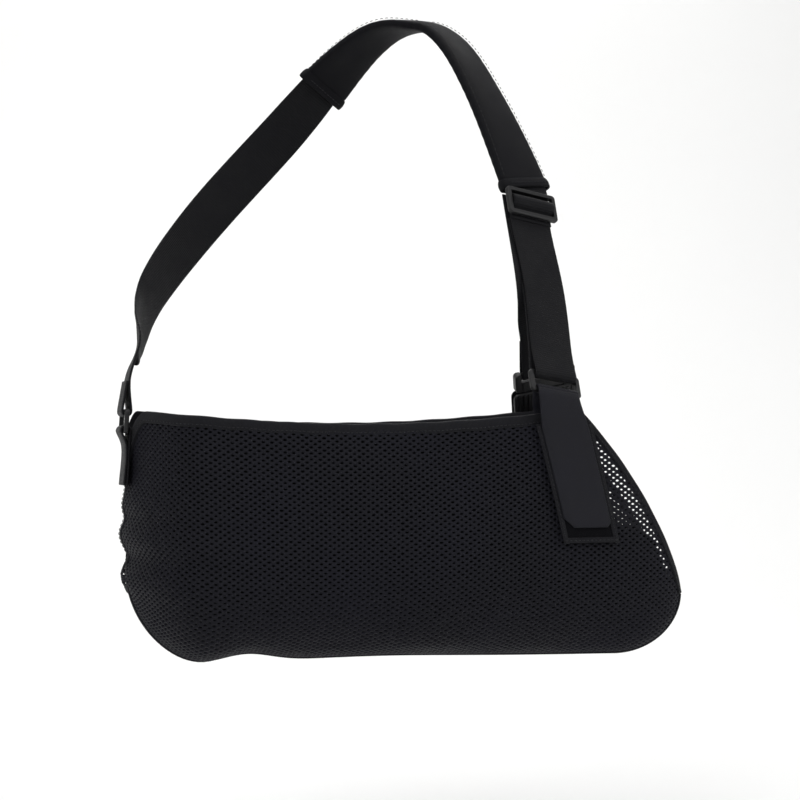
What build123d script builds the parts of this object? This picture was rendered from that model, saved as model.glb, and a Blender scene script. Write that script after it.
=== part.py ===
from build123d import *
import math
import os

# Arm sling, worn on the right arm, in the shape it takes when it is loaded.
# Millimetres. +X runs along the forearm from elbow to hand, -Y is the outer panel's side,
# +Z is up. The origin is under the shoulder pad where it rests on the top of the shoulder.

# Pouch
POUCH_CENTRE_Y = -124.0
POUCH_BELLY_HALF = 50.0
POUCH_TOP_RATIO = 0.86  # half gap at the top edge over half width at the belly
POUCH_BOTTOM_Z = -495.0
POUCH_BELLY_DEPTH = 0.62  # how far down the section its widest level lies
FABRIC_THICKNESS = 3.0
ELBOW_X = -250.0
ELBOW_ROUND_LENGTH = 56.0
ELBOW_BOTTOM_RISE = 68.0
ELBOW_TOP_LENGTH = 10.0
ELBOW_TOP_FALL = 50.0
ELBOW_SEAM_SHIFT = 36.0  # the closed end leans back, behind the upper arm
HAND_X = 175.0
HAND_TAPER_LENGTH = 235.0
HAND_BOTTOM_LENGTH = 52.0
HAND_BOTTOM_RISE = 46.0
HAND_SHIFT = -14.0
TOP_EDGE_Z = -308.0
TOP_EDGE_SAG = 10.0
MOUTH_TOP_X = 81.0
MOUTH_MIDDLE = (143.0, -384.0)
END_SECTION_HALF = 2.6

# Bindings
BINDING_HEIGHT = 8.0
BINDING_PROUD = 0.9
MOUTH_BINDING_HEIGHT = 4.5

# Webbing and fittings
WEBBING_WIDTH = 38.0
WEBBING_THICKNESS = 1.8
RING_WIDTH = 46.0
RING_HEIGHT = 18.0
BAR = 3.5
WRAP_RADIUS = 3.5  # from a ring bar's axis to the middle of the webbing around it
SLIDER_WIDTH = 46.0
SLIDER_HEIGHT = 24.0
SLIDER_THICKNESS = 4.0
SLIDER_STANDOFF = 4.6
SLIDER_DISTANCE = 156.0  # from the front ring up the strap to the middle of the slider

# Shoulder pad
PAD_WIDTH = 48.5
PAD_THICKNESS = 11.0
PAD_WALL = 1.5
FOAM_WIDTH = 42.0
FOAM_THICKNESS = 4.2
PAD_HEM = 7.0

# Closure
TAB_WIDTH = 38.0
TAB_THICKNESS = 1.7
TAB_LENGTH = 102.0
LOOP_PAD_WIDTH = 45.0
LOOP_PAD_LENGTH = 90.0
LOOP_PAD_THICKNESS = 1.5
CLOSURE_LEAN = 0.238  # sideways run of the closure per millimetre of drop

# Side-release buckle on the inner strap
BUCKLE_WIDTH = 54.0
BUCKLE_THICKNESS = 9.0
PLUG_THICKNESS = 7.0
SOCKET_LENGTH = 30.0
PLUG_BASE_LENGTH = 16.0
PRONG_LENGTH = 19.0

# Places where the straps run
FRONT_RING = Vector(64.0, -163.0, -288.0)
FRONT_SIDE = Vector(0.95, 0.29, -0.13)
FRONT_RISE = Vector(0.01, 0.455, 0.890)
STRAP_GAP = 2.6  # between the middles of the two layers of webbing above the front ring
ELBOW_RING = Vector(-252.0, -88.0, -316.0)
ELBOW_SIDE = Vector(0.05, 1.0, 0.0)
ELBOW_RISE = Vector(0.06, 0.02, 1.0)
BUCKLE_CENTRE = Vector(84.0, -81.0, -302.0)
BUCKLE_SIDE = Vector(0.985, 0.14, -0.10)
BUCKLE_RISE = Vector(-0.196, -0.480, 0.855)

# Strap over the back and shoulder: middle of the webbing and the direction of its width
STRAP_ROUTE = [
    ((-241, -80, -262), (0.15, 1.0, 0.05)),
    ((-223, -28, -218), (0.50, 0.60, -0.50)),
    ((-172, 26, -156), (0.60, 0.20, -0.75)),
    ((-102, 44, -80), (0.68, 0.20, -0.70)),
    ((-40, 20, -8), (0.55, 0.75, -0.35)),
    ((0, 0, 8), (0.40, 0.90, 0.10)),
    ((25, -22, -8), (0.62, 0.75, 0.18)),
    ((46, -52, -58), (0.82, 0.55, 0.0)),
]
ROUTE_STEPS = 4

# Details of the pouch's sections
END_WALL_SHARE = 0.6
SECTION_LEVELS = 4
END_ANGLES = (0, 18, 34, 50, 66, 78, 90)
MIDDLE_STEP = 44.0
MIDDLE_COUNT = 3
MOUTH_TOP_Z = -304.0
MOUTH_END_Z = -449.0
MOUTH_OVERRUN = 40.0
MOUTH_CUT_REACH = 320.0
MOUTH_STEPS = 10
MOUTH_FIRST = 0.06
MOUTH_LAST = 0.93
BINDING_START = 8.0
BINDING_END_GAP = 4.0
CLEARANCE = 0.4
SEAM_TAPE_TOP = 58.0
SEAM_TAPE_END = 122.0
SEAM_TAPE_WIDTH = 8.0
SEAM_TAPE_THICKNESS = 1.2

# Details of the fittings
RING_CORNER = 3.0
BAR_ROUND = 1.0
WRAP_STEPS = 8
LEAD = 5.0  # straight run between a bar's wrap and the bend beyond it
FOLD_TOP = 30.0
FOLD_EASE = 0.3
FOLD_NEAR = 1.0
FOLD_FAR = 1.0
ROUTE_LEAD_OUT = 20.0
SLIDER_BAR_RECESS = 0.8
LOOP_RADIUS = 2.7
LOOP_STRETCH = 1.25
LOOP_WEB = 1.4
PAD_FIRST_STATION = 14
PAD_MOUTH_DISTANCE = 181.0
PAD_DEPTH = 2.2
FOAM_DEPTH = 3.8
HEM_PROUD = 0.8
CLOSURE_STEPS = 6
LOOP_PAD_TOP = 24.0
LOOP_PAD_STANDOFF = 2.2
TAB_STANDOFF = 4.3
TAB_CONTACT_DROP = 28.0
TAB_START_ANGLE = 28.0
ANCHOR_LENGTH = 60.0
ANCHOR_TOP_DROP = 11.5
ANCHOR_STANDOFF = 2.6
ELBOW_ANCHOR_LENGTH = 48.0
ELBOW_ANCHOR_INNER = 1.2
ELBOW_ANCHOR_OUTER = 3.4
SOCKET_CORNER = 5.0
SOCKET_ROUND = 1.5
SOCKET_BASE = 10.0
BAY_THICKNESS = 5.0
BUCKLE_BAR_THICKNESS = 3.0
WEBBING_SLOT = 3.4
OVERCUT = 2.0  # how far a cutting block passes the face it cuts
PLUG_INSET = 4.0
STRAND_PART = 1.0
RIB_PLACES = (-22.0, -18.0, -14.0, 14.0, 18.0, 22.0)
RIB_WIDTH = 1.8
SOCKET_RIB_LENGTH = 20.0
PLUG_RIB_LENGTH = 10.0
RIB_INSET = 2.0
RIB_HEIGHT = 0.7
PRONG_THICKNESS = 4.2
PRONG_INNER = 16.0
PRONG_OUTER = 20.0
PRONG_HEAD = 23.0
PRONG_TIP_SLOPE = 4.0
PRONG_NOSE = (3.0, 9.0, 14.0, 15.0)  # heights of the barbed head's corners above its tip
GUIDE_LENGTH = 16.0
GUIDE_WIDTH = 9.0
STRAND_HEIGHTS = (75.0, 167.0)
INNER_ANCHOR_STANDOFF = 2.4
STRAND_STANDOFF = 4.8
ANCHOR_SEWN_TOP = 20.0
ANCHOR_SEWN_END = 48.0


def unit(vector):
    return Vector(vector).normalized()


def catmull_rom(before, start, end, after, u):
    """Point on the smooth curve between start and end, u from 0 to 1."""
    return (
        start * 2
        + (end - before) * u
        + (before * 2 - start * 5 + end * 4 - after) * u**2
        + (start * 3 - before - end * 3 + after) * u**3
    ) * 0.5


def smooth_stations(stations, steps):
    """Stations along a smooth curve through the given ones."""
    result = []
    last = len(stations) - 1
    for index in range(last):
        picks = [stations[min(max(index + k, 0), last)] for k in (-1, 0, 1, 2)]
        for step in range(steps):
            u = step / steps
            centre = catmull_rom(*[pick[0] for pick in picks], u)
            side = catmull_rom(*[pick[1] for pick in picks], u)
            result.append((centre, side))
    return result + [stations[last]]


def flat_strip(stations, width, thickness, square=True):
    """Ruled solid through rectangular sections, each given by its centre and width direction.

    A square strip's sections are turned square to its run. Otherwise they keep to the width
    directions given, as tape does where it leans away from the bar it is folded round.
    """
    wires = []
    last = len(stations) - 1
    for index, (centre, side) in enumerate(stations):
        ahead = stations[min(index + 1, last)][0]
        behind = stations[max(index - 1, 0)][0]
        along = unit(ahead - behind)
        across = unit(side - along * side.dot(along)) if square else unit(side)
        through = unit(along.cross(across)) * (thickness / 2)
        across = across * (width / 2)
        corners = [
            centre + across + through,
            centre - across + through,
            centre - across - through,
            centre + across - through,
        ]
        wires.append(Wire.make_polygon(corners))
    return Solid.make_loft(wires, ruled=True)


# ---------------------------------------------------------------- pouch


def end_round(distance, length):
    """1 in the body of the pouch, falling along an ellipse to 0 at the end of the length."""
    if distance <= 0:
        return 1.0
    return math.sqrt(max(0.0, 1.0 - (distance / length) ** 2))


def elbow_distance(x):
    return ELBOW_X + ELBOW_ROUND_LENGTH - x


def hand_distance(x, length):
    return x - (HAND_X - length)


def belly_half(x, inset=0.0):
    elbow = end_round(elbow_distance(x), ELBOW_ROUND_LENGTH - inset)
    hand = end_round(hand_distance(x, HAND_TAPER_LENGTH), HAND_TAPER_LENGTH - inset)
    return max(END_SECTION_HALF - inset * END_WALL_SHARE, (POUCH_BELLY_HALF - inset) * elbow * hand)


def centre_y(x):
    elbow = max(0.0, elbow_distance(x)) / ELBOW_ROUND_LENGTH
    hand = max(0.0, hand_distance(x, HAND_TAPER_LENGTH)) / HAND_TAPER_LENGTH
    return POUCH_CENTRE_Y + ELBOW_SEAM_SHIFT * elbow**2 + HAND_SHIFT * hand**2


def bottom_z(x, inset=0.0):
    elbow = 1 - end_round(elbow_distance(x), ELBOW_ROUND_LENGTH)
    hand = 1 - end_round(hand_distance(x, HAND_BOTTOM_LENGTH), HAND_BOTTOM_LENGTH)
    return POUCH_BOTTOM_Z + ELBOW_BOTTOM_RISE * elbow + HAND_BOTTOM_RISE * hand + inset


def top_z(x):
    """Top edge, sagging along the forearm and falling away at the very end of the elbow."""
    share = min(1.0, max(0.0, (x - ELBOW_X) / (MOUTH_TOP_X - ELBOW_X)))
    fall = 1 - end_round(ELBOW_X + ELBOW_TOP_LENGTH - x, ELBOW_TOP_LENGTH)
    return TOP_EDGE_Z - TOP_EDGE_SAG * math.sin(math.pi * share) - ELBOW_TOP_FALL * fall


def belly_z(x):
    """Height of the widest level of the section."""
    return top_z(x) - POUCH_BELLY_DEPTH * (top_z(x) - bottom_z(x))


def wall_half(x, z, inset=0.0):
    """Half width of the pouch section above its widest level."""
    share = max(0.0, top_z(x) - z) / (top_z(x) - belly_z(x))
    swell = POUCH_TOP_RATIO + (1 - POUCH_TOP_RATIO) * math.sin(math.pi / 2 * min(1.0, share))
    return belly_half(x, inset) * swell


def outer_point(x, z, proud):
    """Point on the outer panel's wall, stood off by proud."""
    return Vector(x, centre_y(x) - wall_half(x, z) - proud, z)


def inner_point(x, z, proud):
    return Vector(x, centre_y(x) + wall_half(x, z) + proud, z)


def panel_section(x, side):
    """Section of one panel at x, from under its binding to the seam under the pouch."""
    top = top_z(x) - BINDING_HEIGHT
    widest = belly_z(x)
    faces = []
    for inset in (0.0, FABRIC_THICKNESS):
        face = []
        for level in range(SECTION_LEVELS):
            z = top + (widest - top) * level / SECTION_LEVELS
            face.append(Vector(x, centre_y(x) + side * wall_half(x, z, inset), z))
        for level in range(SECTION_LEVELS + 1):
            angle = math.pi / 2 * level / SECTION_LEVELS
            across = belly_half(x, inset) * math.cos(angle)
            z = widest - (widest - bottom_z(x, inset)) * math.sin(angle)
            face.append(Vector(x, centre_y(x) + side * across, z))
        faces.append(face)
    return Wire.make_polygon(faces[0] + faces[1][::-1])


def pouch_stations():
    """Places along the forearm: close together where the two ends round off."""
    elbow = [ELBOW_X + ELBOW_ROUND_LENGTH * (1 - math.cos(math.radians(a))) for a in END_ANGLES]
    hand = [HAND_X - HAND_TAPER_LENGTH * (1 - math.cos(math.radians(a))) for a in END_ANGLES]
    middle = [ELBOW_X + ELBOW_ROUND_LENGTH + step * MIDDLE_STEP for step in range(1, MIDDLE_COUNT)]
    return elbow + middle + hand[::-1]


def mouth_arc(inset=0.0):
    """Diagonal edge of the open hand end in the XZ plane, moved into the pouch by inset."""
    arc = ThreePointArc((MOUTH_TOP_X, MOUTH_TOP_Z), MOUTH_MIDDLE, (HAND_X, MOUTH_END_Z))
    centre = arc.arc_center
    radius = arc.radius
    shrink = (radius - inset) / radius
    points = [centre + ((arc @ share) - centre) * shrink for share in (0, 0.5, 1)]
    return ThreePointArc(*points)


def mouth_cut():
    """Everything beyond the inside of the mouth's binding, as a block across the pouch."""
    arc = mouth_arc(MOUTH_BINDING_HEIGHT)
    start, end = arc @ 0, arc @ 1
    lead_in = start + (arc % 0) * -MOUTH_OVERRUN
    lead_out = end + (arc % 1) * MOUTH_OVERRUN
    far_x = HAND_X + MOUTH_OVERRUN
    outline = Polyline(lead_out, (far_x, lead_out.Y), (far_x, lead_in.Y), lead_in)
    face = make_face(Curve() + [Line(lead_in, start), arc, Line(end, lead_out), outline])
    upright = Plane((0, 0, 0), x_dir=(1, 0, 0), z_dir=(0, -1, 0))
    return extrude(upright * face, amount=MOUTH_CUT_REACH, both=True)


def panel(side):
    wires = [panel_section(x, side) for x in pouch_stations()]
    return Solid.make_loft(wires, ruled=True) - mouth_cut()


def top_binding(side):
    """Folded tape over a panel's top edge, from the elbow corner to the mouth."""
    wires = []
    first, last = ELBOW_X + BINDING_START, MOUTH_TOP_X - BINDING_END_GAP
    between = [x for x in pouch_stations() if first < x < last]
    for x in [first] + between + [last]:
        top = top_z(x)
        out = wall_half(x, top) + BINDING_PROUD
        back = wall_half(x, top, FABRIC_THICKNESS) - BINDING_PROUD
        ys = [centre_y(x) + side * reach for reach in (out, back)]
        low = top - BINDING_HEIGHT
        corners = [(x, ys[0], top), (x, ys[1], top), (x, ys[1], low), (x, ys[0], low)]
        wires.append(Wire.make_polygon([Vector(*corner) for corner in corners]))
    return Solid.make_loft(wires, ruled=True)


def mouth_binding(side):
    """Folded tape over a panel's edge at the open hand end."""
    arc = mouth_arc(MOUTH_BINDING_HEIGHT / 2)
    stations = []
    for step in range(MOUTH_STEPS + 1):
        share = MOUTH_FIRST + (MOUTH_LAST - MOUTH_FIRST) * step / MOUTH_STEPS
        place, along = arc @ share, arc % share
        reach = wall_half(place.X, place.Y) - FABRIC_THICKNESS / 2
        centre = Vector(place.X, centre_y(place.X) + side * reach, place.Y)
        stations.append((centre, Vector(along.Y, 0, -along.X)))
    return flat_strip(stations, MOUTH_BINDING_HEIGHT - CLEARANCE, FABRIC_THICKNESS + 2 * BINDING_PROUD)


def elbow_seam_binding():
    """Tape over the upright seam that closes the elbow end, below the anchor webbing."""
    stations = []
    for drop in (SEAM_TAPE_TOP, SEAM_TAPE_END):
        centre = Vector(ELBOW_X - SEAM_TAPE_THICKNESS / 2, centre_y(ELBOW_X), TOP_EDGE_Z - drop)
        stations.append((centre, Vector(0, 1, 0)))
    return flat_strip(stations, SEAM_TAPE_WIDTH, SEAM_TAPE_THICKNESS)


# ---------------------------------------------------------------- places of the fittings


def fitting_plane(centre, side, rise):
    """Local frame of a fitting: x along the webbing's width, y up the strap, z outwards."""
    up = unit(rise)
    across = unit(side - up * side.dot(up))
    return Plane(centre, x_dir=across, z_dir=across.cross(up))


FRONT = fitting_plane(FRONT_RING, FRONT_SIDE, FRONT_RISE)
ELBOW = fitting_plane(ELBOW_RING, ELBOW_SIDE, ELBOW_RISE)
BUCKLE = fitting_plane(BUCKLE_CENTRE, BUCKLE_SIDE, BUCKLE_RISE)
BAR_OFFSET = (RING_HEIGHT - BAR) / 2


def at(plane, y, z, x=0.0):
    return plane.from_local_coords((x, y, z))


def side_view(plane, places):
    """Stations in the plane through a fitting's middle, from (height, standoff) pairs."""
    return [(at(plane, y, z), plane.x_dir) for y, z in places]


def wrap(bar_y, first, last, radius=WRAP_RADIUS):
    """(height, standoff) pairs around a bar. 0 degrees is outwards and 90 is up."""
    places = []
    for step in range(WRAP_STEPS + 1):
        angle = math.radians(first + (last - first) * step / WRAP_STEPS)
        places.append((bar_y + radius * math.sin(angle), radius * math.cos(angle)))
    return places


def rounded_slab(width, height, thickness, corner, rounding):
    """Flat moulding centred on its plane, with rounded corners and softened rims."""
    slab = extrude(RectangleRounded(width, height, corner), thickness / 2, both=True)
    rims = slab.edges().filter_by_position(Axis.Z, thickness / 2, thickness / 2)
    rims += slab.edges().filter_by_position(Axis.Z, -thickness / 2, -thickness / 2)
    return fillet(rims, rounding)


def rectangular_ring(plane):
    """Moulded rectangular loop."""
    slab = rounded_slab(RING_WIDTH, RING_HEIGHT, BAR, RING_CORNER, BAR_ROUND)
    return plane * (slab - Box(RING_WIDTH - 2 * BAR, RING_HEIGHT - 2 * BAR, BAR * 2))


# ---------------------------------------------------------------- strap


def shoulder_route():
    """Stations of the main strap from above the elbow ring to the top of its straight front run."""
    route = [(Vector(*centre), Vector(*side)) for centre, side in STRAP_ROUTE]
    for height in (PAD_MOUTH_DISTANCE, PAD_MOUTH_DISTANCE - ROUTE_LEAD_OUT):
        route.append((at(FRONT, height, STRAP_GAP / 2), FRONT.x_dir))
    return smooth_stations(route, ROUTE_STEPS)


def elbow_fold():
    """Strap end around the upper bar of the elbow ring, from its sewn end up to the long run."""
    places = [(FOLD_TOP, -FOLD_NEAR)]
    places += wrap(BAR_OFFSET, 180, 360)
    places += [(FOLD_TOP, FOLD_FAR)]
    return side_view(ELBOW, places)


def front_fold():
    """Strap around the upper bar of the front ring, coming down outside and ending behind."""
    places = [(FOLD_TOP, STRAP_GAP / 2 + FOLD_EASE)]
    return side_view(FRONT, places + wrap(BAR_OFFSET, 0, -180))


def shoulder_strap():
    """Webbing from the elbow ring over the back and shoulder, down the front, round the ring."""
    stations = elbow_fold() + shoulder_route() + front_fold()
    return flat_strip(stations, WEBBING_WIDTH, WEBBING_THICKNESS)


def strap_return():
    """Back layer of the webbing, from the front ring up to the slider."""
    slider_low = SLIDER_DISTANCE - SLIDER_HEIGHT / 2 - CLEARANCE
    behind = -STRAP_GAP / 2
    places = [(BAR_OFFSET + CLEARANCE, -WRAP_RADIUS)]
    places += [(FOLD_TOP, behind - FOLD_EASE), (slider_low, behind)]
    return flat_strip(side_view(FRONT, places), WEBBING_WIDTH, WEBBING_THICKNESS)


SLIDER = Plane(
    at(FRONT, SLIDER_DISTANCE, STRAP_GAP / 2 + SLIDER_STANDOFF), x_dir=FRONT.x_dir, z_dir=FRONT.z_dir
)


def tri_glide():
    """Slider: a frame with two windows and a thinner centre bar."""
    slab = rounded_slab(SLIDER_WIDTH, SLIDER_HEIGHT, SLIDER_THICKNESS, RING_CORNER, BAR_ROUND)
    window_height = (SLIDER_HEIGHT - 3 * BAR) / 2
    window = Box(SLIDER_WIDTH - 2 * BAR, window_height, SLIDER_THICKNESS * 2)
    recess = Box(SLIDER_WIDTH - 2 * BAR, BAR + 1, SLIDER_BAR_RECESS * 2)
    for side in (-1, 1):
        slab -= Pos(0, side * (window_height + BAR) / 2, 0) * window
        slab -= Pos(0, 0, side * SLIDER_THICKNESS / 2) * recess
    return SLIDER * slab


def strap_end_loop():
    """Sewn end of the webbing around the slider's centre bar."""
    places = wrap(0.0, 0, 360, LOOP_RADIUS)[:-1]
    outer = [(y * LOOP_STRETCH, z) for y, z in places]
    path = Polyline(*[(z, y) for y, z in outer], close=True)
    ring = make_face(offset(path, LOOP_WEB / 2)) - make_face(offset(path, -LOOP_WEB / 2))
    end_on = Plane((0, 0, 0), x_dir=(0, 0, 1), z_dir=(1, 0, 0))
    return SLIDER * (end_on * extrude(ring, amount=WEBBING_WIDTH / 2, both=True))


# ---------------------------------------------------------------- pad


def pad_stations(depth):
    """Stations along the pad, from behind the shoulder to its front mouth, set in by depth."""
    route = shoulder_route()[PAD_FIRST_STATION:-ROUTE_STEPS]
    shifted = []
    last = len(route) - 1
    for index, (centre, side) in enumerate(route):
        along = unit(route[min(index + 1, last)][0] - route[max(index - 1, 0)][0])
        outwards = unit(along.cross(side))
        shifted.append((centre - outwards * depth, side))
    return shifted


def pad_tube(stations, wall):
    """Flattened tube of fabric, open at both ends."""
    outer = flat_strip(stations, PAD_WIDTH, PAD_THICKNESS)
    inside = lengthened(stations)
    return outer - flat_strip(inside, PAD_WIDTH - 2 * wall, PAD_THICKNESS - 2 * wall)


def lengthened(stations):
    """The same stations with both ends pushed on a little, so that a cut goes right through."""
    first, last = stations[0], stations[-1]
    before = first[0] + unit(first[0] - stations[1][0])
    after = last[0] + unit(last[0] - stations[-2][0])
    return [(before, first[1])] + stations[1:-1] + [(after, last[1])]


def pad_hem(stations, end):
    """Turned and sewn hem around one mouth of the pad."""
    inner_end, mouth = (stations[1], stations[0]) if end == "back" else (stations[-2], stations[-1])
    away = unit(mouth[0] - inner_end[0])
    start = mouth[0] + away * CLEARANCE
    pair = [(start, mouth[1]), (start + away * PAD_HEM, mouth[1])]
    outer = flat_strip(pair, PAD_WIDTH + HEM_PROUD, PAD_THICKNESS + HEM_PROUD)
    hollow = lengthened(pair)
    return outer - flat_strip(hollow, PAD_WIDTH - 2 * PAD_WALL, PAD_THICKNESS - 2 * PAD_WALL)


# ---------------------------------------------------------------- closure on the outer panel


def closure_stations(first_drop, last_drop, proud):
    """Stations on the outer panel under the front ring, leaning towards the hand."""
    low_bar = at(FRONT, -BAR_OFFSET, 0)
    stations = []
    for step in range(CLOSURE_STEPS + 1):
        drop = first_drop + (last_drop - first_drop) * step / CLOSURE_STEPS
        x = low_bar.X + CLOSURE_LEAN * drop
        z = low_bar.Z - drop
        place = outer_point(x, z, proud)
        before = outer_point(x - TAB_WIDTH / 2, z, proud)
        beside = outer_point(x + TAB_WIDTH / 2, z, proud)
        stations.append((place, unit(beside - before)))
    return stations


def loop_pad():
    """Loop tape sewn to the outer panel under the front ring."""
    stations = closure_stations(LOOP_PAD_TOP, LOOP_PAD_TOP + LOOP_PAD_LENGTH, LOOP_PAD_STANDOFF)
    return flat_strip(stations, LOOP_PAD_WIDTH, LOOP_PAD_THICKNESS)


def closure_tab():
    """Outer leg of the hook tape, from the front ring's lower bar down over the loop pad."""
    stations = side_view(FRONT, [(-BAR_OFFSET, WRAP_RADIUS), (-BAR_OFFSET - LEAD, WRAP_RADIUS)])
    stations += closure_stations(TAB_CONTACT_DROP, TAB_LENGTH, TAB_STANDOFF)
    return flat_strip(stations, TAB_WIDTH, TAB_THICKNESS, square=False)


def closure_anchor():
    """Inner leg of the same tape, from inside the pouch's top edge up over the lower bar."""
    stations = closure_stations(ANCHOR_LENGTH, ANCHOR_TOP_DROP, -FABRIC_THICKNESS - ANCHOR_STANDOFF)
    stations += side_view(FRONT, wrap(-BAR_OFFSET, 180, TAB_START_ANGLE))
    return flat_strip(stations, TAB_WIDTH, TAB_THICKNESS, square=False)


# ---------------------------------------------------------------- elbow anchor


def elbow_anchor():
    """Webbing loop sewn over the elbow seam and folded round the elbow ring's lower bar."""
    low = -ELBOW_ANCHOR_LENGTH
    places = [(low, ELBOW_ANCHOR_INNER), (-RING_HEIGHT, ELBOW_ANCHOR_INNER)]
    places += wrap(-BAR_OFFSET, 180, 0)
    places += [(-RING_HEIGHT, ELBOW_ANCHOR_OUTER), (low, ELBOW_ANCHOR_OUTER)]
    return flat_strip(side_view(ELBOW, places), WEBBING_WIDTH, WEBBING_THICKNESS)


# ---------------------------------------------------------------- inner strand and its buckle


PLUG_BAR_Y = SOCKET_LENGTH / 2 + CLEARANCE + PLUG_BASE_LENGTH - BAR / 2
SOCKET_BAR_Y = -SOCKET_LENGTH / 2 + BAR / 2


def webbing_bar(y, away):
    """What to cut for a webbing bar at y: the slot beside it, and its front and back faces."""
    slot = Pos(0, y - away * (BAR + WEBBING_SLOT) / 2, 0) * Box(
        WEBBING_WIDTH + OVERCUT, WEBBING_SLOT, BUCKLE_THICKNESS * 2
    )
    faces = [
        Pos(0, y, side * (BUCKLE_THICKNESS + BUCKLE_BAR_THICKNESS) / 2)
        * Box(WEBBING_WIDTH + OVERCUT, BAR + OVERCUT, BUCKLE_THICKNESS)
        for side in (-1, 1)
    ]
    return [slot] + faces


def buckle_socket():
    """Female half: a flat box open at the top and at both sides, with a bar for the webbing."""
    body = rounded_slab(BUCKLE_WIDTH, SOCKET_LENGTH, BUCKLE_THICKNESS, SOCKET_CORNER, SOCKET_ROUND)
    bay_length = SOCKET_LENGTH - SOCKET_BASE + OVERCUT
    bay = Box(BUCKLE_WIDTH + OVERCUT, bay_length, BAY_THICKNESS)
    body -= Pos(0, (SOCKET_BASE + OVERCUT) / 2, 0) * bay
    rib = Box(RIB_WIDTH, SOCKET_RIB_LENGTH, 2 * RIB_HEIGHT)
    rib_y = SOCKET_LENGTH / 2 - SOCKET_RIB_LENGTH / 2 - RIB_INSET
    for x in RIB_PLACES:
        body += Pos(x, rib_y, BUCKLE_THICKNESS / 2) * rib
    for tool in webbing_bar(SOCKET_BAR_Y, -1):
        body -= tool
    return BUCKLE * body


def buckle_plug():
    """Male half: webbing bar, shoulder and the guide that runs down the middle of the socket."""
    base_y = SOCKET_LENGTH / 2 + CLEARANCE + PLUG_BASE_LENGTH / 2
    width = BUCKLE_WIDTH - PLUG_INSET
    slab = rounded_slab(width, PLUG_BASE_LENGTH, PLUG_THICKNESS, RING_CORNER, BAR_ROUND)
    body = Pos(0, base_y, 0) * slab
    rib = Box(RIB_WIDTH, PLUG_RIB_LENGTH, 2 * RIB_HEIGHT)
    for x in (RIB_PLACES[1], RIB_PLACES[-2]):
        body += Pos(x, base_y, PLUG_THICKNESS / 2) * rib
    guide_top = base_y - PLUG_BASE_LENGTH / 2
    guide = Box(GUIDE_WIDTH, GUIDE_LENGTH + OVERCUT, PRONG_THICKNESS)
    body += Pos(0, guide_top - (GUIDE_LENGTH - OVERCUT) / 2, 0) * guide
    for tool in webbing_bar(PLUG_BAR_Y, 1):
        body -= tool
    return BUCKLE * body


def prong(side):
    """Springy arm with a barbed head that is squeezed to free the buckle."""
    root_y = SOCKET_LENGTH / 2
    tip_y = root_y - PRONG_LENGTH
    nose, widest, barb, heel = PRONG_NOSE
    stem = [
        (PRONG_INNER, root_y),
        (PRONG_INNER, tip_y + PRONG_TIP_SLOPE),
        ((PRONG_INNER + PRONG_OUTER) / 2, tip_y),
        (PRONG_OUTER, tip_y + nose),
        (PRONG_HEAD, tip_y + widest),
        (PRONG_HEAD, tip_y + barb),
        (PRONG_OUTER, tip_y + heel),
        (PRONG_OUTER, root_y),
    ]
    outline = Polyline(*[(side * x, y) for x, y in stem], close=True)
    return BUCKLE * extrude(make_face(outline), PRONG_THICKNESS / 2, both=True)


def inner_strand():
    """Second strand: behind the strap from the pad's mouth, then parting to the plug's bar."""
    stations = side_view(BUCKLE, [(PLUG_BAR_Y + FOLD_TOP, -FOLD_NEAR)] + wrap(PLUG_BAR_Y, -180, 0))
    stations.append((at(BUCKLE, PLUG_BAR_Y + FOLD_TOP + WRAP_RADIUS, STRAND_PART), BUCKLE.x_dir))
    stations += side_view(FRONT, [(y, -STRAND_STANDOFF) for y in STRAND_HEIGHTS])
    return flat_strip(stations, WEBBING_WIDTH, WEBBING_THICKNESS)


def inner_anchor():
    """Webbing loop from the socket's bar down to its sewn end on the inner panel."""
    places = wrap(SOCKET_BAR_Y, 180, 0) + [(SOCKET_BAR_Y - LEAD, WRAP_RADIUS)]
    stations = side_view(BUCKLE, places)
    low = at(BUCKLE, SOCKET_BAR_Y, 0)
    half = WEBBING_WIDTH / 2
    for drop in (ANCHOR_SEWN_TOP, ANCHOR_SEWN_END):
        z = low.Z - drop
        sides = [inner_point(low.X + reach, z, INNER_ANCHOR_STANDOFF) for reach in (-half, 0, half)]
        stations.append((sides[1], unit(sides[2] - sides[0])))
    return flat_strip(stations, WEBBING_WIDTH, WEBBING_THICKNESS)


# ---------------------------------------------------------------- export


def build_parts():
    pad = pad_stations(PAD_DEPTH)
    return {
        "outer_panel": panel(-1),
        "inner_panel": panel(1),
        "outer_top_binding": top_binding(-1),
        "inner_top_binding": top_binding(1),
        "outer_mouth_binding": mouth_binding(-1),
        "inner_mouth_binding": mouth_binding(1),
        "elbow_seam_binding": elbow_seam_binding(),
        "elbow_anchor_webbing": elbow_anchor(),
        "elbow_ring": rectangular_ring(ELBOW),
        "shoulder_strap": shoulder_strap(),
        "strap_return": strap_return(),
        "strap_end_loop": strap_end_loop(),
        "tri_glide": tri_glide(),
        "pad_cover": pad_tube(pad, PAD_WALL),
        "pad_foam": flat_strip(pad_stations(FOAM_DEPTH)[1:-1], FOAM_WIDTH, FOAM_THICKNESS),
        "pad_front_hem": pad_hem(pad, "front"),
        "pad_back_hem": pad_hem(pad, "back"),
        "front_ring": rectangular_ring(FRONT),
        "closure_anchor": closure_anchor(),
        "closure_tab": closure_tab(),
        "loop_pad": loop_pad(),
        "inner_strand": inner_strand(),
        "buckle_plug": buckle_plug(),
        "buckle_prong_front": prong(1),
        "buckle_prong_rear": prong(-1),
        "buckle_socket": buckle_socket(),
        "inner_anchor_webbing": inner_anchor(),
    }


os.makedirs("parts", exist_ok=True)
for name, solid in build_parts().items():
    export_step(solid, f"parts/{name}.step")
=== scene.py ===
import math

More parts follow.
